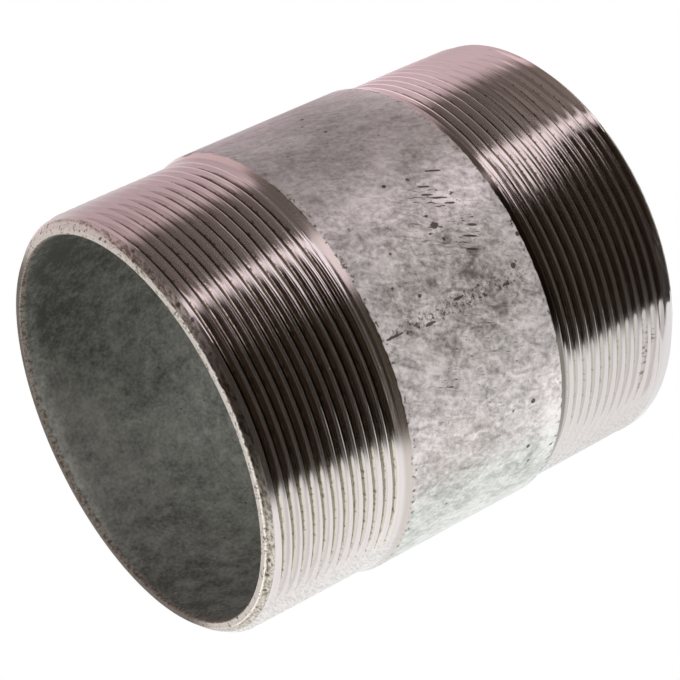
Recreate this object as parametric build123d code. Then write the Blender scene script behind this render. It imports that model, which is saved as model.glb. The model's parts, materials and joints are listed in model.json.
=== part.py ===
"""Galvanised steel barrel nipple: a short tube with an outside taper thread at each end."""

from build123d import *
import os

# Outside taper thread, in millimetres: nominal size 3 inch, 11 threads to the inch, 55 degree form
pitch = 25.4 / 11
taper = 1 / 16
gauge_diameter = 87.884
gauge_length = 20.6
thread_length = 29.8
crest_flat_cut = 0.4

# Tube: its barrel stands a little over the thread's gauge diameter, so the thread is cut from it
length = 101.6
barrel_over_gauge = 1.516
wall = 4.45

# Run-out that the die's lead leaves between the last full thread and the barrel
run_out_pitches = 1.125

# Faced and bevelled ends
bevel_length = 1.45
bevel_height = 1.35
inside_break = 0.2

barrel_diameter = gauge_diameter + barrel_over_gauge
bore_diameter = barrel_diameter - 2 * wall


def crest_radius(distance):
    """Radius over the thread's crests, at a distance from its own end of the nipple."""
    gauge_radius = gauge_diameter / 2 - crest_flat_cut
    return gauge_radius + (distance - gauge_length) * taper / 2


def end_outline(distance_to_height):
    """Outer points of one end, from the edge of its flat face up to the full barrel."""
    barrel_radius = barrel_diameter / 2
    steps = [
        (crest_radius(0) - bevel_height, 0),
        (crest_radius(bevel_length), bevel_length),
        (crest_radius(thread_length), thread_length),
        (barrel_radius, thread_length + run_out_pitches * pitch),
    ]
    return [(radius, distance_to_height(distance)) for radius, distance in steps]


def nipple_section():
    """Half section of the wall, bounded by the bore, both faced ends and the outside."""
    bore_radius = bore_diameter / 2
    lower_end = end_outline(lambda distance: distance)
    upper_end = end_outline(lambda distance: length - distance)
    bore_side = [
        (bore_radius + inside_break, length),
        (bore_radius, length - inside_break),
        (bore_radius, inside_break),
        (bore_radius + inside_break, 0),
    ]
    return make_face(Polyline(*lower_end, *reversed(upper_end), *bore_side, close=True))


def make_nipple():
    """The whole nipple, standing on its lower end with its axis along Z."""
    section = Plane.XZ * nipple_section()
    return revolve(section, axis=Axis.Z)


parts = {
    "nipple": make_nipple(),
}

os.makedirs("parts", exist_ok=True)
for name, solid in parts.items():
    export_step(solid, f"parts/{name}.step")
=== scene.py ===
"""Looks of the galvanised steel barrel nipple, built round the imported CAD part, in metres."""
import json
import math

import bpy
from mathutils import Matrix, Vector


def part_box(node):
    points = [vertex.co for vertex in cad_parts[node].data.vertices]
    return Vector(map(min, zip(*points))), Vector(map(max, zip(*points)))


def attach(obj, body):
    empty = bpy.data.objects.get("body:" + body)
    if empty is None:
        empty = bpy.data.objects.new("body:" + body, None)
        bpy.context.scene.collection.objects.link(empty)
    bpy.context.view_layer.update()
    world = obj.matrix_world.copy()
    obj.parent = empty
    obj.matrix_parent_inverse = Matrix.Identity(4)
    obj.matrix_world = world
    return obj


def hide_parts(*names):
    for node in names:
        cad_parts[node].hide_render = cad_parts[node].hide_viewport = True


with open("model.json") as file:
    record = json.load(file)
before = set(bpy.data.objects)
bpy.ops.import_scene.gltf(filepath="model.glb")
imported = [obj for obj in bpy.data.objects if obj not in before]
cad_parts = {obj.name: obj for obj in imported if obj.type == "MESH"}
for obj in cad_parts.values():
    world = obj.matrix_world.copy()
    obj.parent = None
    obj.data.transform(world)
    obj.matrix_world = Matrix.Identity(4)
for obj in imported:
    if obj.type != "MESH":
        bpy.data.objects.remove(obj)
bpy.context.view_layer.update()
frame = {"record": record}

MM = 0.001
low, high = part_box("nipple")
length = high[2] - low[2]
barrel_radius = (high[0] - low[0]) / 2
mounts = {mount["name"]: mount for mount in frame["record"]["mounts"]}
bore_radius = mounts["bore"]["dims"]["r_mm"] * MM

# Outside taper thread, 3 inch: 11 to the inch, 55 degree form, 1 in 16 on diameter, crests cut short
pitch = 25.4 * MM / 11
taper = 1 / 16
gauge_diameter = 87.884 * MM
gauge_length = 20.6 * MM
thread_length = 29.8 * MM
run_out_length = 1.125 * pitch
crest_flat_cut = 0.4 * MM
crest_radius_at_end = gauge_diameter / 2 - crest_flat_cut - gauge_length * taper / 2
thread_angle = math.radians(55)
sharp_height = pitch / 2 / math.tan(thread_angle / 2)
root_height = sharp_height / 6
crest_height = sharp_height - root_height - crest_flat_cut

# How the grooves are rounded, how they fade in past the bevel and how they rise in the run-out
crest_rounding = 0.8 * MM
root_rounding = 0.7 * MM
groove_starts = 2.1 * MM
start_slope = 1.2
rise_starts = 0.3 * MM
rise_slope = 2.2

# The lower thread starts later on one side: how much later, and where and how narrowly
smooth_start = 3.8 * MM
smooth_side = math.radians(-148)
smooth_narrowness = 4.0

# Where each thread's groove comes round, as a part of a turn
lower_phase = 0.2
upper_phase = 0.35

# Faced ends
bevel_length = 1.45 * MM
bevel_height = 1.35 * MM
inside_break = 0.2 * MM
face_radius = crest_radius_at_end - bevel_height

# Mesh: columns round the nipple, rows in each of its stretches, welding and creasing
columns = 144
rows_per_pitch = 20
plain_rows = 8
face_rows = 2
weld_distance = 0.004 * MM
crease_angle = math.radians(38)

# Marks on the barrel: angle in degrees round from the camera's side towards +X, height in
# millimetres, and half the size round and up
barrel_pits = [
    (13.5, 47.8, 1.1, 1.1), (-3.7, 36.6, 0.8, 0.8), (28.0, 51.7, 0.6, 0.7),
    (-38.5, 39.6, 0.7, 0.8), (-52.8, 40.1, 0.8, 0.7), (2.8, 32.7, 0.6, 0.6),
    (-6.5, 66.5, 0.4, 2.6), (-7.5, 58.6, 0.5, 1.8), (-4.9, 50.5, 0.5, 1.6), (-6.9, 39.6, 0.5, 1.2),
]
pitted_line = (-6.0, 51.0, 2.2, 21.0)

# Gouges: angle, height and half length of each, then the half width and the lean of them all
gouges = [
    (23.6, 44.9, 1.9), (21.2, 45.3, 1.6), (19.2, 43.4, 2.5), (16.9, 42.2, 1.6),
    (26.5, 40.8, 2.1), (9.6, 40.6, 1.5), (7.4, 42.4, 1.9), (4.2, 43.2, 1.6),
]
gouge_half_width = 0.38
gouge_slant = 0.41

# Scratched patches: angle, height, half sizes, and the limit that the noise passes in a scratch
scratched_patches = [(14.0, 45.0, 11.0, 10.0, 0.6), (-22.0, 50.0, 15.0, 17.0, 0.64)]

# Lighter and darker stretches of the barrel: angle, height, half sizes and change of tone. The darker
# one at 50 degrees and the lighter one at -80 run the whole length and are painted shade and painted
# light.
barrel_stretches_with_painted_light = [
    (50.0, 50.0, 14.0, 40.0, -0.3), (21.0, 38.0, 9.0, 9.0, 0.2), (-17.0, 54.0, 9.0, 22.0, 0.32),
    (-38.0, 50.0, 13.0, 36.0, -0.22), (-80.0, 50.0, 12.0, 40.0, 0.3),
]
stirred_middle = (-2.0, 50.0, 24.0, 26.0)
calm_patch = (-50.0, 50.0, 22.0, 40.0)
flaky_patch = (-50.0, 31.0, 26.0, 12.0)
warm_patch = (-58.0, 57.0, 24.0, 12.0)

# Marks on the threads, by angle, height and half sizes
spotted_line = (-48.0, 9.8, 13.0, 0.7)
spotted_stub = (-41.0, 7.4, 2.2, 0.6)
spotted_blot = (-74.5, 9.3, 1.6, 0.5)
burr_at_top = (80.0, 69.2, 3.0, 1.4)

# Zones along the nipple, in millimetres from its nearer end face, each from where its edge starts
# to where that edge ends
rim_edge = (0.16, 0.36)
rough_edge = (0.2, 0.7)
bevel_edge = (1.35, 1.6)
nicked_edge = (1.4, 1.9)
thread_edge = (30.0, 31.6)
run_out_edge = (30.2, 31.2)
burr_start, burr_end = (31.8, 32.4), (32.7, 33.7)
die_edge = (32.1, 32.5)
zinc_edge = (32.2, 32.5)

# Zones by height, and by distance away from the camera, in millimetres
lower_end_edge = (40.0, 60.0)
upper_end_edge = (60.0, 65.0)
far_side_edge = (4.0, 16.0)

# Zones round the nipple, in degrees: nothing up to the first angle, all of it past the second
lit_side = (-20.0, -33.0)
painted_light_side = (-45.0, -80.0)
turned_under = (-56.0, -76.0)
tarnished_side = (42.0, 58.0)
painted_shade_side = (43.0, 57.0)
top_of_rim = (40.0, 70.0)
calm_side = (15.0, 45.0)
cool_side = (-42.0, -58.0)
green_shaded_side = (35.0, 60.0)

# Colours of the zinc on the barrel, each as its darkest and its lightest tone; the green pair is also
# darker, painted shade on the +X side away from the light
plain_zinc = ((0.17, 0.15, 0.14), (0.88, 0.832, 0.82))
warm_zinc = ((0.17, 0.145, 0.115), (0.82, 0.775, 0.72))
cool_zinc = ((0.17, 0.185, 0.165), (0.81, 0.85, 0.815))
green_shaded_zinc = ((0.18, 0.205, 0.19), (0.66, 0.72, 0.69))
pit_colour = (0.025, 0.02, 0.015)

# Colours of the cut steel; a pair goes from dark to light, or from crest to flank where it is lit. The
# lit colours are painted light on the lit side, greyed on the lower thread with painted shade; the
# groove pair is grime with painted shade in the roots, its lighter tone painted light on the lit side;
# the dark lower run-out colour and the far bevel and rim colours are painted shade.
steel = ((0.68, 0.64, 0.61), (0.88, 0.85, 0.84))
painted_light_steel = ((0.8, 0.755, 0.785), (0.94, 0.925, 0.85))
under_steel = ((0.6, 0.6, 0.6), (0.86, 0.87, 0.87))
lower_lit_painted_shade = (0.62, 0.605, 0.6)
tarnished_steel = (0.3, 0.27, 0.26)
groove_grime_and_shade = ((0.1, 0.08, 0.045), (0.2, 0.175, 0.085))
fleck_colour = (0.1, 0.08, 0.05)
spotted_colour = (0.25, 0.21, 0.19)
run_out_colour = (0.54, 0.48, 0.42)
lower_run_out_shade = (0.1, 0.08, 0.06)
bevel_steel = ((0.17, 0.135, 0.1), (0.74, 0.7, 0.62))
bevel_far_shade = (0.16, 0.13, 0.1)
rim_steel = ((0.3, 0.23, 0.16), (0.97, 0.94, 0.86))
rim_far_shade = (0.085, 0.065, 0.04)
nick_colour = (0.07, 0.05, 0.035)
burr_colour = (0.06, 0.05, 0.04)

# Colours in the bore
bore_zinc = ((0.15, 0.16, 0.138), (0.6, 0.605, 0.565))
mouth_zinc = ((0.14, 0.11, 0.08), (0.42, 0.38, 0.34))
bore_pit_colour = (0.08, 0.07, 0.05)

# The studio as the threads mirror it: its colours, and the angles round the nipple, in degrees,
# between which each one comes in
dark = (0.0215, 0.0137, 0.0092)
horizon = (0.18, 0.152, 0.125)
strip = (1.14, 1.0, 1.05)
bright, bright_ends = (1.0, 0.97, 0.95), (-35.5, -28.5)
dim, dim_starts = (0.135, 0.109, 0.1), (23.4, 25.4)
pink, pink_starts = (0.7, 0.53, 0.57), (44.0, 50.0)
pale, pale_starts = (0.95, 0.88, 0.9), (68.0, 82.0)
strip_softness = 1.2
mirror_offset = 0.93

# The card that only mirrors see: its height, where its foot is, how far it fans out, and its points
card_height = 0.3 * MM
card_foot = 0.94
card_fan = 2.1
card_angles = [-30.0 + 2.0 * step for step in range(63)]
card_reaches = [20.0 * step for step in range(9)] + [200.0, 300.0, 600.0, 1200.0, 2900.0]


class Number:
    """A number in a node tree. Python's operators on it add Math nodes to the tree."""

    def __init__(self, graph, output):
        self.graph = graph
        self.output = output

    def math(self, operation, *terms):
        values = dict(enumerate((self, *terms)))
        return self.graph.add("ShaderNodeMath", {"operation": operation}, values)

    def __add__(self, other):
        return self.math("ADD", other)

    __radd__ = __add__

    def __mul__(self, other):
        return self.math("MULTIPLY", other)

    __rmul__ = __mul__

    def __sub__(self, other):
        return self.math("SUBTRACT", other)

    def __rsub__(self, other):
        return self.graph.add("ShaderNodeMath", {"operation": "SUBTRACT"}, {0: other, 1: self})

    def __truediv__(self, other):
        return self.math("DIVIDE", other)

    def least(self, other):
        return self.math("MINIMUM", other)

    def most(self, other):
        return self.math("MAXIMUM", other)

    def between(self, start, end):
        """0 up to start, 1 from end on, and a smooth step between them."""
        return self.graph.add("ShaderNodeMapRange", {"interpolation_type": "SMOOTHSTEP"}, {
            "Value": self, "From Min": start, "From Max": end})

    def until(self, start, end):
        """1 up to start, 0 from end on, and a smooth step between them."""
        return 1 - self.between(start, end)


class Graph:
    """A node tree, and the one way in which nodes are added to it."""

    def __init__(self, tree):
        self.tree = tree

    def add(self, kind, settings=None, values=None, output=0):
        """Adds a node: its settings first, then the values or links of its sockets."""
        node = self.tree.nodes.new(kind)
        for name, setting in (settings or {}).items():
            setattr(node, name, setting)
        for key, value in (values or {}).items():
            self.put(self.find(node.inputs, key), value)
        return Number(self, self.find(node.outputs, output)) if node.outputs else None

    @staticmethod
    def find(sockets, key):
        """The socket with this place, identifier or name."""
        if isinstance(key, int):
            return sockets[key]
        named = [socket for socket in sockets if socket.identifier == key]
        return named[0] if named else sockets[key]

    def put(self, socket, value):
        """Gives a socket a link, several links, a colour or a plain value."""
        if isinstance(value, Number):
            self.tree.links.new(value.output, socket)
        elif isinstance(value, (list, tuple)) and value and isinstance(value[0], Number):
            for one in value:
                self.tree.links.new(one.output, socket)
        elif isinstance(value, tuple) and len(value) == 3 and socket.type == "RGBA":
            socket.default_value = (*value, 1.0)
        else:
            socket.default_value = value

    def mix(self, first, second, factor):
        """A colour between two colours; a factor past 0 or 1 counts as 0 or 1."""
        return self.add("ShaderNodeMix", {"data_type": "RGBA"}, {
            "Factor_Float": factor, "A_Color": first, "B_Color": second}, "Result_Color")

    def overlay(self, colour, tones, tone, share):
        """A colour under a share of another, which is itself between two tones."""
        return self.mix(colour, self.mix(*tones, tone), share)

    def noise(self, spot, scale, detail=3.0, roughness=0.55, swirl=0.0):
        """Cloudy noise from 0 to 1, with its scale in features per millimetre."""
        return self.add("ShaderNodeTexNoise", None, {
            "Vector": spot, "Scale": scale, "Detail": detail, "Roughness": roughness,
            "Distortion": swirl}, "Fac")

    def cells(self, spot, scale):
        """Scattered cells: how far the nearest one's middle is, and that cell's random number."""
        distance = self.add("ShaderNodeTexVoronoi", None, {"Vector": spot, "Scale": scale}, "Distance")
        colour = Number(self, self.find(distance.output.node.outputs, "Color"))
        return distance, self.part(colour, "X")

    def stretched(self, spot, factors):
        return self.add("ShaderNodeVectorMath", {"operation": "MULTIPLY"}, {0: spot, 1: factors})

    def part(self, spot, axis):
        return self.add("ShaderNodeSeparateXYZ", None, {"Vector": spot}, axis)

    def point(self, **parts):
        return self.add("ShaderNodeCombineXYZ", None, parts)


def add_object(name, data):
    thing = bpy.data.objects.new(name, data)
    bpy.context.scene.collection.objects.link(thing)
    return thing


def looking(place, aim):
    """Where a camera or lamp stands and how it is turned, to look from a place at an aim."""
    turn = (aim - place).to_track_quat("-Z", "Y").to_matrix().to_4x4()
    return Matrix.Translation(place) @ turn


def thread_zone(size):
    """How far from its end face a thread reaches, with its run-out."""
    return size["Thread length"] + size["Run-out length"]


def thread_sheet(graph, size, phase, later_start):
    """The outside of the lower end: a grid bent round Z, whose rows climb a pitch in each turn."""
    turns = math.ceil((thread_length + run_out_length) / pitch) + 1
    grid = graph.add("GeometryNodeMeshGrid", None, {
        "Size X": 1.0, "Size Y": 1.0,
        "Vertices X": size["Columns"] + 1, "Vertices Y": turns * rows_per_pitch + 1})
    place = graph.add("GeometryNodeInputPosition")
    around = graph.part(place, "X") + 0.5
    row_turns = (graph.part(place, "Y") + 0.5) * turns
    angle = around * math.tau
    distance = ((row_turns + around - 1) * size["Pitch"]).most(0.0).least(thread_zone(size))

    # The cone over the crests, then the short cone of the run-out
    crest = size["Crest radius"] + distance * (taper / 2)
    crest_end = size["Crest radius"] + size["Thread length"] * (taper / 2)
    past_thread = (distance - size["Thread length"]).most(0.0)
    shoulder_slope = (size["Barrel radius"] - crest_end) / size["Run-out length"]
    outer = crest.most(crest_end + past_thread * shoulder_slope)

    # The groove that is cut into them
    turn = (distance / size["Pitch"] - around + phase).math("FRACT")
    from_groove = ((turn - 0.5) * size["Pitch"]).math("ABSOLUTE")
    flank = (from_groove / math.tan(thread_angle / 2)).math("SMOOTH_MAX", root_height, root_rounding)
    groove = crest - crest_height + flank + (past_thread - rise_starts).most(0.0) * rise_slope
    on_smooth_side = (angle - smooth_side).math("COSINE").most(0.0).math("POWER", smooth_narrowness)
    start = on_smooth_side * later_start + groove_starts
    groove = groove + (start - distance).most(0.0) * start_slope

    # The bevel, which takes the corner off both
    bevel_slope = (crest_radius_at_end + bevel_length * taper / 2 - face_radius) / bevel_length
    bevel = distance * bevel_slope + face_radius
    radius = outer.math("SMOOTH_MIN", groove, crest_rounding).least(bevel)
    spot = graph.point(X=radius * angle.math("COSINE"), Y=radius * angle.math("SINE"), Z=distance)
    return graph.add("GeometryNodeSetPosition", None, {"Geometry": grid, "Position": spot})


def plain_rings(graph, size):
    """The bore, its broken edge, the flat face and the barrel of the lower half, as rings."""
    bore, barrel = size["Bore radius"], size["Barrel radius"]
    half = size["Length"] / 2
    zone = thread_zone(size)
    mouth = bore + inside_break
    rings = [
        (bore, bore, inside_break, half - inside_break, plain_rows, True),
        (mouth, bore, 0.0, inside_break, 1, True),
        (mouth, face_radius, 0.0, 0.0, face_rows, False),
        (barrel, barrel, zone, half - zone, plain_rows, False),
    ]
    bands = []
    for first, last, start, height, rows, faces_flipped in rings:
        band = graph.add("GeometryNodeMeshCone", {"fill_type": "NONE"}, {
            "Vertices": size["Columns"], "Side Segments": rows,
            "Radius Top": last, "Radius Bottom": first, "Depth": height})
        if faces_flipped:
            band = graph.add("GeometryNodeFlipFaces", None, {"Mesh": band})
        bands.append(graph.add("GeometryNodeTransform", None, {
            "Geometry": band, "Translation": graph.point(Z=start)}))
    return bands


def threaded_half(graph, size, phase, later_start):
    """Half of the nipple, from its lower end face to its middle."""
    bands = (thread_sheet(graph, size, phase, later_start), *plain_rings(graph, size))
    return graph.add("GeometryNodeJoinGeometry", None, {"Geometry": bands})


def nipple_tree(sizes, outside, inside):
    """The node tree of the whole nipple: two threaded halves, back to back, welded."""
    tree = bpy.data.node_groups.new("threaded nipple", "GeometryNodeTree")
    graph = Graph(tree)
    for name, value in sizes.items():
        kind = "NodeSocketInt" if isinstance(value, int) else "NodeSocketFloat"
        tree.interface.new_socket(name=name, in_out="INPUT", socket_type=kind)
    tree.interface.new_socket(name="Geometry", in_out="OUTPUT", socket_type="NodeSocketGeometry")
    inputs = tree.nodes.new("NodeGroupInput")
    size = {name: Number(graph, inputs.outputs[name]) for name in sizes}

    lower = threaded_half(graph, size, size["Lower phase"], size["Smooth start"])
    upper = threaded_half(graph, size, size["Upper phase"], 0.0)
    upper = graph.add("GeometryNodeTransform", None, {
        "Geometry": upper, "Rotation": (math.pi, 0.0, 0.0),
        "Translation": graph.point(Z=size["Length"])})
    both = graph.add("GeometryNodeJoinGeometry", None, {"Geometry": (lower, upper)})
    welded = graph.add("GeometryNodeMergeByDistance", None, {
        "Geometry": both, "Distance": weld_distance})

    smooth = graph.add("GeometryNodeSetShadeSmooth", {"domain": "FACE"}, {"Geometry": welded})
    bend = graph.add("GeometryNodeInputMeshEdgeAngle")
    crease = graph.add("FunctionNodeCompare", {"data_type": "FLOAT", "operation": "GREATER_THAN"}, {
        "A": bend, "B": crease_angle})
    creased = graph.add("GeometryNodeSetShadeSmooth", {"domain": "EDGE"}, {
        "Geometry": smooth, "Selection": crease, "Shade Smooth": False})
    whole = graph.add("GeometryNodeRealizeInstances", None, {"Geometry": creased})

    place = graph.add("GeometryNodeInputPosition")
    flat_place = graph.stretched(place, (1.0, 1.0, 0.0))
    across = graph.add("ShaderNodeVectorMath", {"operation": "LENGTH"}, {0: flat_place}, "Value")
    in_bore = graph.add("FunctionNodeCompare", {"data_type": "FLOAT", "operation": "LESS_THAN"}, {
        "A": across, "B": size["Bore radius"] + inside_break * 0.6})
    dressed = graph.add("GeometryNodeSetMaterial", None, {"Geometry": whole, "Material": outside})
    dressed = graph.add("GeometryNodeSetMaterial", None, {
        "Geometry": dressed, "Selection": in_bore, "Material": inside})
    out = tree.nodes.new("NodeGroupOutput")
    graph.put(out.inputs["Geometry"], dressed)
    return tree


def make_nipple(outside, inside):
    """The nipple as one plain mesh, made by its node tree."""
    sizes = {
        "Length": length, "Barrel radius": barrel_radius, "Bore radius": bore_radius,
        "Pitch": pitch, "Crest radius": crest_radius_at_end, "Thread length": thread_length,
        "Run-out length": run_out_length, "Lower phase": lower_phase,
        "Upper phase": upper_phase, "Smooth start": smooth_start, "Columns": columns,
    }
    tree = nipple_tree(sizes, outside, inside)
    maker = add_object("nipple_maker", bpy.data.meshes.new("nipple_maker"))
    modifier = maker.modifiers.new("threaded nipple", "NODES")
    modifier.node_group = tree
    for item in tree.interface.items_tree:
        if item.in_out == "INPUT":
            modifier[item.identifier] = sizes[item.name]
    shown = maker.evaluated_get(bpy.context.evaluated_depsgraph_get())
    mesh = bpy.data.meshes.new_from_object(shown)
    mesh.name = "threaded_nipple"
    bpy.data.objects.remove(maker)
    return add_object("threaded_nipple", mesh)


def new_material(name):
    material = bpy.data.materials.new(name)
    material.use_nodes = True
    material.node_tree.nodes.clear()
    return material, Graph(material.node_tree)


class Skin:
    """What the nipple's materials share: places on it, in millimetres and degrees, and zones."""

    mm_per_degree = math.radians(1) * barrel_radius / MM

    def __init__(self, name):
        self.material, self.graph = new_material(name)
        graph = self.graph
        place = graph.add("ShaderNodeTexCoord", None, None, "Object")
        self.spot = graph.stretched(place, (1 / MM, 1 / MM, 1 / MM))
        x = graph.part(self.spot, "X")
        self.away = graph.part(self.spot, "Y")
        self.height = graph.part(self.spot, "Z")
        self.radius = (x * x + self.away * self.away).math("SQRT")
        self.angle = x.math("ARCTAN2", self.away * -1.0) * math.degrees(1)
        self.arc = self.angle * self.mm_per_degree
        self.from_end = self.height.least(length / MM - self.height)
        crest = self.from_end * (taper / 2) + crest_radius_at_end / MM
        self.under_crest = crest - self.radius

    def beyond(self, start, end):
        """0 up to one angle round the nipple, 1 past the other, on either side of the front."""
        if end < start:
            return (self.angle * -1).between(-start, -end)
        return self.angle.between(start, end)

    def patch(self, angle, height, round_half, height_half, slant=0.0):
        """A soft oval that is 1 at its middle, at an angle round the nipple and a height up it."""
        rise = self.height - height
        across = self.arc - angle * self.mm_per_degree
        if slant:
            across = across - rise * slant
        across = across / round_half
        rise = rise / height_half
        return 1 - (across * across + rise * rise).math("SQRT").least(1.0)

    def specks(self, scale, ragged, edge, rarity):
        """Scattered specks: cells to the millimetre, their ragged edge, and how few of them show."""
        distance, number = self.graph.cells(self.spot, scale)
        return (distance + ragged).until(*edge) * number.between(*rarity)

    def laid_over(self, under, over, share):
        """One finish over another, each with its colour, roughness and metallic share."""
        colour = self.graph.mix(under[0], over[0], share)
        numbers = [below + (above - below) * share for below, above in zip(under[1:], over[1:])]
        return colour, *numbers

    def finish(self, colour, roughness, metallic, relief, depth):
        graph = self.graph
        bump = graph.add("ShaderNodeBump", None, {
            "Strength": 1.0, "Distance": depth, "Height": relief}, "Normal")
        surface = graph.add("ShaderNodeBsdfPrincipled", None, {
            "Base Color": colour, "Roughness": roughness, "Metallic": metallic, "Normal": bump})
        graph.add("ShaderNodeOutputMaterial", None, {"Surface": surface})
        return self.material


class Outside(Skin):
    """The skin outside, with the grain, the die's marks and the zones that its finishes share."""

    def __init__(self):
        super().__init__("galvanised_outside")
        graph = self.graph
        self.grain = graph.noise(self.spot, 1.0, detail=2.0, roughness=0.7)
        drawn_round = graph.stretched(self.spot, (0.12, 0.12, 4.0))
        self.die_marks = graph.noise(drawn_round, 1.0, detail=2.0, roughness=0.6)
        self.threaded = self.from_end.until(*thread_edge)
        self.run_out = self.from_end.between(*run_out_edge)
        self.bevel = self.from_end.until(*bevel_edge)
        self.lower_end = self.height.until(*lower_end_edge)
        self.far_side_shade = self.away.between(*far_side_edge)
        self.in_light = self.beyond(*lit_side)


def marks(skin):
    """Dark pits, gouges and scrapes where the photograph shows them on the barrel."""
    graph, grain = skin.graph, skin.grain
    shape = 0
    for place in barrel_pits:
        shape = skin.patch(*place).most(shape)
    for angle, height, half_length in gouges:
        gouge = skin.patch(angle, height, gouge_half_width, half_length, gouge_slant)
        shape = gouge.most(shape)
    ragged = (grain - 0.5) * 3.0 * (shape * 4).least(1.0)
    dark_marks = (shape * 2 + ragged).between(0.4, 0.8)

    crumbs = graph.noise(skin.spot, 1.3, detail=4.0, roughness=0.8)
    on_line = skin.patch(*pitted_line)
    crumbs = (0.442 - crumbs + on_line * 0.05).between(0.0, 0.06) * on_line.between(0.0, 0.25)
    dark_marks = crumbs.most(dark_marks)

    slanted = graph.point(X=skin.arc - skin.height * gouge_slant, Y=skin.height * 0.2)
    streaks = graph.noise(slanted, 1.4, roughness=0.6)
    for *place, limit in scratched_patches:
        zone = skin.patch(*place).between(0.0, 0.5)
        scratches = (streaks - limit + (grain - 0.5) * 0.4).between(0.0, 0.06) * zone
        dark_marks = scratches.most(dark_marks)
    return dark_marks


def zinc_tone(skin, broad, cloud):
    """How light the zinc is, from 0 to 1: mottling at four scales, in stretches that differ."""
    graph, grain = skin.graph, skin.grain
    drawn = graph.point(
        X=skin.arc - skin.height * gouge_slant, Y=skin.height * 0.5, Z=skin.arc * 0.3)
    blot = graph.noise(drawn, 0.4, roughness=0.65, swirl=1.2)
    middle = skin.patch(*stirred_middle).between(0.0, 0.8)
    mottling = (broad - 0.5) * 0.9 + (cloud - 0.5) * 1.1 + (blot - 0.5) * 1.5 + (grain - 0.5) * 1.1
    calm = skin.beyond(*calm_side) * 0.45 + skin.patch(*calm_patch) * 0.3
    tone = mottling * (1.28 - calm + middle * 0.35) + 0.59 - middle * 0.11
    # Some of these stretches are painted shade at 50 degrees and painted light at -80 degrees.
    for *place, change in barrel_stretches_with_painted_light:
        tone = tone + skin.patch(*place) * change
    flaky = skin.patch(*flaky_patch).between(0.0, 0.7)
    flakes = (cloud - flaky * 0.22).until(0.26, 0.38)
    return (tone + flakes * 0.4).between(-0.5, 1.5), middle


def zinc(skin):
    """Dull mottled zinc: its colour, roughness and metallic share."""
    graph, grain = skin.graph, skin.grain
    broad = graph.noise(skin.spot, 0.05, detail=2.0)
    cloud = graph.noise(skin.spot, 0.13, detail=5.0, roughness=0.68, swirl=0.5)
    tone, middle = zinc_tone(skin, broad, cloud)
    warm = skin.patch(*warm_patch).between(0.0, 0.8) * 0.5 + middle * 0.35
    colour = graph.mix(*plain_zinc, tone)
    colour = graph.overlay(colour, warm_zinc, tone, warm)
    colour = graph.overlay(colour, cool_zinc, tone, skin.beyond(*cool_side) * 0.85)
    # Painted shade with a green tint: a darker copy of the zinc over the +X side.
    colour = graph.overlay(colour, green_shaded_zinc, tone, skin.beyond(*green_shaded_side) * 0.75)

    pits = skin.specks(0.22, (grain - 0.5) * 0.15, (0.05, 0.11), (0.45, 0.5))
    fine_pits = skin.specks(0.8, (grain - 0.5) * 0.1, (0.06, 0.17), (0.5, 0.6))
    fine_pits = fine_pits * broad.between(0.42, 0.6)
    dark_spot = (pits + fine_pits * 0.7 + marks(skin)).least(1.0)
    colour = graph.mix(colour, pit_colour, dark_spot * 0.92)
    roughness = 0.37 + (cloud - 0.5) * 0.3 + dark_spot * 0.2
    return colour, roughness, 0.42 - dark_spot * 0.3


def dirt_and_shade_in_grooves(skin, smear):
    """How thick the grime and the painted shade lie in the roots: more from 43 degrees round the +X
    side, away from the light, which is painted shade, and a little more on the lit side; less past -45
    degrees and on the lit side low down, which is painted light.
    """
    depth = skin.under_crest + (smear - 0.5) * 0.4
    depth = depth + skin.beyond(*painted_shade_side) * 0.16 + skin.in_light * 0.09
    grime_and_shade = depth.between(0.76, 1.0) * skin.threaded * (1 - skin.beyond(*painted_light_side) * 0.5)
    return grime_and_shade * (1 - skin.in_light * skin.lower_end * 0.55)


def spots_on_thread(skin):
    """The broken dark line and the blot on the lit side of the lower thread."""
    line = skin.patch(*spotted_line).most(skin.patch(*spotted_stub)).between(0.0, 0.5)
    blot = skin.patch(*spotted_blot).between(0.1, 0.5)
    return (skin.grain.until(0.42, 0.5) * line).most(blot)


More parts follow.
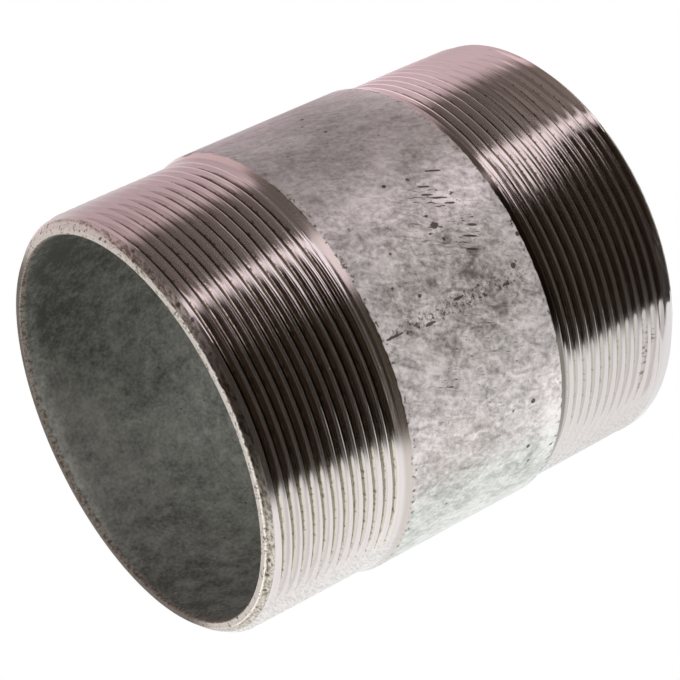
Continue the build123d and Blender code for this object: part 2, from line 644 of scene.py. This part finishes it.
def cut_steel(skin):
    """Bright steel as the die left it, with painted light on the lit side and painted shade in the
    roots, on the lower run-out and on the far bevel: its colour, roughness and metallic share.
    """
    graph, grain = skin.graph, skin.grain
    lit, lower_lit = skin.in_light, skin.in_light * skin.lower_end
    smear = graph.noise(graph.stretched(skin.spot, (0.5, 0.5, 1.5)), 0.5, roughness=0.6)
    colour = graph.mix(*steel, skin.die_marks * 0.6 + smear * 0.4)
    tarnish = skin.beyond(*tarnished_side) * skin.height.between(*upper_end_edge)
    colour = graph.mix(colour, tarnished_steel, tarnish * 0.3)
    on_flank = skin.under_crest.between(0.1, 0.35)
    # Painted light: on the lit side the flanks take the lighter pinkish steel colours, more of them on
    # the lower thread.
    colour = graph.overlay(colour, painted_light_steel, on_flank, lit * (skin.lower_end * 0.2 + 0.4))
    under = skin.beyond(*turned_under)
    colour = graph.overlay(colour, under_steel, grain.between(0.34, 0.6), under * 0.7)
    # Painted shade: the lit side of the lower thread is greyed down.
    colour = graph.mix(colour, lower_lit_painted_shade, lower_lit * 0.4)

    grime_and_shade = dirt_and_shade_in_grooves(skin, smear)
    # Grime and painted shade in the roots; the lighter of the two root colours, on the lit side, is
    # painted light.
    colour = graph.overlay(colour, groove_grime_and_shade, lit, grime_and_shade * (0.95 - lit * 0.2))
    # Dark flecks deep in the roots; fewer of them on the lit side of the lower thread, which is
    # painted light.
    flecks = grain.until(0.38, 0.43) * skin.under_crest.between(0.45, 0.8) * skin.threaded
    colour = graph.mix(colour, fleck_colour, flecks * (0.7 - lower_lit * 0.4))
    colour = graph.mix(colour, spotted_colour, spots_on_thread(skin) * 0.85)

    colour = graph.mix(colour, run_out_colour, skin.run_out * 0.55)
    # Painted shade on the run-out of the lower thread, at the step down from the barrel.
    colour = graph.mix(colour, lower_run_out_shade, skin.run_out * skin.lower_end * 0.8)
    scraped = graph.noise(graph.stretched(skin.spot, (0.45, 0.9, 1.6)), 1.3, roughness=0.75)
    colour = graph.overlay(colour, bevel_steel, scraped.between(0.36, 0.6), skin.bevel * 0.85)
    # Painted shade: the bevel is darkened on the far side.
    colour = graph.mix(colour, bevel_far_shade, skin.bevel * skin.far_side_shade * 0.8)

    on_crest = skin.under_crest.until(0.03, 0.09) * skin.threaded
    roughness = 0.1 + on_crest * 0.05 + grime_and_shade * 0.1 + (skin.die_marks - 0.5) * 0.06
    roughness = roughness + skin.run_out * 0.1 + skin.bevel * 0.22
    return colour, roughness, 1 - on_crest * 0.03


def rough_rim(skin):
    """The bright rim of each end, darkened on the far side with painted shade: its finish, where it
    lies, and the nicks in it and the bevel.
    """
    graph = skin.graph
    tone = graph.noise(skin.spot, 0.9, roughness=0.8)
    at_top = skin.beyond(*top_of_rim)
    ragged = (tone - 0.5) * (0.9 + at_top * 1.2) - at_top * 0.75
    share = (skin.from_end + ragged).until(*rim_edge)
    colour = graph.mix(*rim_steel, tone.between(0.34, 0.46))
    # Painted shade: the rim is darkened on the far side.
    colour = graph.mix(colour, rim_far_shade, skin.far_side_shade * 0.85)
    nicks = skin.specks(0.33, (tone - 0.5) * 0.4, (0.1, 0.2), (0.35, 0.4))
    return (colour, 0.5, 0.3), share, nicks * skin.from_end.until(*nicked_edge)


def burrs(skin):
    """Dark crumbs at the edge of the zinc, where the die stopped, and one smear there."""
    at_edge = skin.from_end.between(*burr_start) * skin.from_end.until(*burr_end)
    at_top = skin.patch(*burr_at_top).between(0.2, 0.6)
    return (at_edge * skin.grain.until(0.37, 0.42) + at_top).least(1.0)


def outside_finish():
    """Bright cut thread at both ends, zinc on the barrel between them, and a rough rim."""
    skin = Outside()
    graph = skin.graph
    uneven = (graph.noise(skin.spot, 0.4, roughness=0.7) - 0.5) * 0.9
    cut = (skin.from_end + uneven).until(*zinc_edge)
    surface = skin.laid_over(zinc(skin), cut_steel(skin), cut)
    rim, rim_share, nicks = rough_rim(skin)
    colour, roughness, metallic = skin.laid_over(surface, rim, rim_share)
    colour = graph.mix(colour, nick_colour, nicks * 0.85)
    colour = graph.mix(colour, burr_colour, burrs(skin) * 0.8)

    cut_by_die = skin.from_end.until(*die_edge)
    relief = skin.grain * (1 - cut_by_die) * 0.8 + skin.die_marks * 0.25 * cut_by_die
    relief = relief + skin.grain * skin.from_end.until(*rough_edge)
    return skin.finish(colour, roughness, metallic, relief, 0.06 * MM)


def bore_finish():
    """Dull grey-green zinc inside, with a darker ring just inside each mouth, painted shade near each
    mouth and round 125 degrees, and painted light on the back wall near the mouths.
    """
    skin = Skin("galvanised_bore")
    graph = skin.graph
    broad = graph.noise(skin.spot, 0.08)
    cloud = graph.noise(skin.spot, 0.35, detail=4.0, roughness=0.65)
    grain = graph.noise(skin.spot, 1.3, roughness=0.7)
    tone = (broad - 0.5) * 0.9 + (cloud - 0.5) * 1.3 + (grain - 0.5) * 1.2 + 0.45
    from_back = 180 - skin.angle.math("ABSOLUTE")
    # Painted shade near each mouth, most on the front and side walls, and round 125 degrees; painted
    # light on the back wall near the mouths.
    painted_mouth_shade = skin.from_end.until(3.0, 24.0) * (0.1 + from_back.between(15.0, 60.0) * 0.95)
    shaded = (skin.angle - 125).math("ABSOLUTE").until(15.0, 50.0)
    painted_mouth_light = from_back.until(8.0, 40.0) * skin.from_end.until(9.0, 22.0)
    colour = graph.mix(*bore_zinc, tone - painted_mouth_shade * 0.22 - shaded * 0.13 + painted_mouth_light * 0.22)
    mouth = (skin.from_end + (cloud - 0.5) * 1.5).until(0.9, 1.5)
    colour = graph.overlay(colour, mouth_zinc, grain.between(0.35, 0.6), mouth)
    pits = skin.specks(0.3, (grain - 0.5) * 0.1, (0.05, 0.1), (0.7, 0.75))
    colour = graph.mix(colour, bore_pit_colour, pits * 0.8)
    return skin.finish(colour, 0.5 + (cloud - 0.5) * 0.2, 0.4, grain, 0.04 * MM)


def white_floor():
    """Paper that glows plain white to the camera and in mirrors, and else only scatters light."""
    material, graph = new_material("white_floor")
    straight = graph.add("ShaderNodeLightPath", None, None, "Is Camera Ray")
    mirrored = graph.add("ShaderNodeLightPath", None, None, "Is Glossy Ray")
    through = graph.add("ShaderNodeLightPath", None, None, "Is Transmission Ray")
    seen = (straight + mirrored + through).least(1.0)
    paper = graph.add("ShaderNodeBsdfDiffuse", None, {"Color": (0.8, 0.8, 0.8)})
    glow = graph.add("ShaderNodeEmission", None, {"Color": (1.0, 1.0, 1.0), "Strength": 1.0})
    mixed = graph.add("ShaderNodeMixShader", None, {0: seen, 1: paper, 2: glow})
    graph.add("ShaderNodeOutputMaterial", None, {"Surface": mixed})
    return material


def make_floor():
    half_side = 3.0
    corners = [(x * half_side, y * half_side, 0) for x, y in ((-1, -1), (1, -1), (1, 1), (-1, 1))]
    mesh = bpy.data.meshes.new("floor")
    mesh.from_pydata(corners, [], [(0, 1, 2, 3)])
    mesh.materials.append(white_floor())
    floor = add_object("floor", mesh)


def make_camera():
    """The photograph's view: from above the upper end, turned so that the nipple leans over."""
    place = Vector((0.0, -458.8, 306.4)) * MM
    aim = Vector((-1.4, 0.0, 52.5)) * MM
    roll = math.radians(-115.84)
    data = bpy.data.cameras.new("camera")
    data.lens = 138.66
    data.sensor_width = 36.0
    camera = add_object("camera", data)
    camera.matrix_world = looking(place, aim) @ Matrix.Rotation(roll, 4, "Z")
    bpy.context.scene.camera = camera


def studio_colour(graph, angle, strip_start, level, flank):
    """What the threads mirror at an angle: white, dark, a strip light, a dim wall, a pink one.

    The dark turns into the horizon's where level is 1. Flank widens the strip's soft edge and
    brings its end a little later.
    """
    softness = strip_softness + flank * 0.6
    in_strip = (angle - strip_start + softness) / (softness * 2)
    colour = graph.mix(graph.mix(dark, horizon, level), strip, in_strip)
    colour = graph.mix(colour, dim, (angle - flank * 0.7).between(*dim_starts))
    colour = graph.mix(colour, pink, angle.between(*pink_starts))
    colour = graph.mix(colour, pale, angle.between(*pale_starts))
    return graph.mix(bright, colour, angle.between(*bright_ends))


def card_finish():
    """The card's glow, by the ring angle of each point and its reach out from the nipple, in mm."""
    material, graph = new_material("mirror_card")
    angle = graph.add("ShaderNodeAttribute", {"attribute_name": "ring_angle"}, None, "Fac")
    reach = graph.add("ShaderNodeAttribute", {"attribute_name": "reach"}, None, "Fac")
    by_upper_flanks = reach.between(88.0, 98.0)
    by_lower_thread = reach.until(55.0, 75.0)
    later_up = 9 - reach.between(150.0, 550.0) * 15
    later_down = 8 - reach.between(20.0, 58.0) * 11
    strip_start = 13 + by_upper_flanks * later_up + by_lower_thread * later_down
    level = reach.between(900.0, 2200.0)
    colour = studio_colour(graph, angle, strip_start, level, by_upper_flanks)

    in_front = angle.between(-24.0, 0.0)
    at_side = angle.between(22.0, 30.0) * (0.9 - angle.between(*pink_starts) * 0.3)
    lower_gain = in_front * 0.46 - 0.28 + at_side
    gain = 1 + by_upper_flanks * in_front * 0.3 + by_lower_thread * lower_gain
    lit = graph.add("ShaderNodeVectorMath", {"operation": "SCALE"}, {0: colour, "Scale": gain})
    glow = graph.add("ShaderNodeEmission", None, {"Color": lit, "Strength": 1.0})
    graph.add("ShaderNodeOutputMaterial", None, {"Surface": glow})
    return material


def make_mirror_card():
    """A card on the floor that only mirrors see: what lies in front of the nipple, low down.

    Each of its points carries the ring angle at which it is mirrored, and its reach. A ray is
    thrown back from the ring at about twice its angle, so the card fans out likewise.
    """
    points, ring_angles, reaches = [], [], []
    for reach in card_reaches:
        for angle in card_angles:
            turn = math.radians(angle)
            foot = Vector((math.sin(turn), -math.cos(turn))) * barrel_radius * card_foot
            away = Vector((math.sin(card_fan * turn), -math.cos(card_fan * turn)))
            points.append((*(foot + away * reach * MM), card_height))
            ring_angles.append(angle)
            reaches.append(reach)
    count = len(card_angles)
    starts = [row * count + i for row in range(len(card_reaches) - 1) for i in range(count - 1)]
    faces = [(start, start + 1, start + count + 1, start + count) for start in starts]
    mesh = bpy.data.meshes.new("mirror_card")
    mesh.from_pydata(points, [], faces)
    for name, values in (("ring_angle", ring_angles), ("reach", reaches)):
        mesh.attributes.new(name, "FLOAT", "POINT").data.foreach_set("value", values)
    mesh.materials.append(card_finish())
    card = add_object("mirror_card", mesh)
    card.visible_camera = False
    card.visible_shadow = False
    card.visible_diffuse = False


def make_lamp(name, place, aim, width, height, power):
    """A large soft lamp that mirrors don't show."""
    data = bpy.data.lights.new(name, "AREA")
    data.shape = "RECTANGLE"
    data.size = width
    data.size_y = height
    data.energy = power
    lamp = add_object(name, data)
    lamp.matrix_world = looking(Vector(place), Vector(aim))
    lamp.visible_glossy = False
    lamp.visible_camera = False


def make_world():
    """The studio's walls for mirrors and for light, and plain white for the camera."""
    world = bpy.data.worlds.new("studio")
    world.use_nodes = True
    world.node_tree.nodes.clear()
    graph = Graph(world.node_tree)
    toward = graph.add("ShaderNodeTexCoord", None, None, "Generated")
    to_camera = mirror_offset - graph.part(toward, "Y")
    ring_angle = graph.part(toward, "X").math("ARCTAN2", to_camera) * math.degrees(1)
    up = graph.part(toward, "Z").most(0.0)
    wall = studio_colour(graph, ring_angle, 7 + up * 15, up.until(0.03, 0.16), 0.0)
    studio = graph.add("ShaderNodeBackground", None, {"Color": wall, "Strength": 1.0})
    white = graph.add("ShaderNodeBackground", None, {"Color": (1.0, 1.0, 1.0), "Strength": 1.0})
    seen = graph.add("ShaderNodeLightPath", None, None, "Is Camera Ray")
    mixed = graph.add("ShaderNodeMixShader", None, {0: seen, 1: studio, 2: white})
    graph.add("ShaderNodeOutputWorld", None, {"Surface": mixed})
    bpy.context.scene.world = world


make_camera()
make_world()
make_floor()
make_lamp("side_lamp", place=(-0.75, -1.3, 0.1), aim=(0.0, 0.0, 0.06),
          width=1.2, height=0.18, power=21.0)
make_lamp("top_lamp", place=(0.0, 0.15, 1.2), aim=(0.0, 0.0, 0.1),
          width=0.6, height=0.6, power=3.0)
make_lamp("lamp_in_bore", place=(0.0, 0.0, 0.002), aim=(0.0, 0.0, 0.1),
          width=0.055, height=0.055, power=0.02)
make_mirror_card()
outside = outside_finish()
inside = bore_finish()
nipple = make_nipple(outside, inside)
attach(nipple, "root")
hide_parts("nipple")

bpy.context.scene.view_settings.view_transform = "Standard"
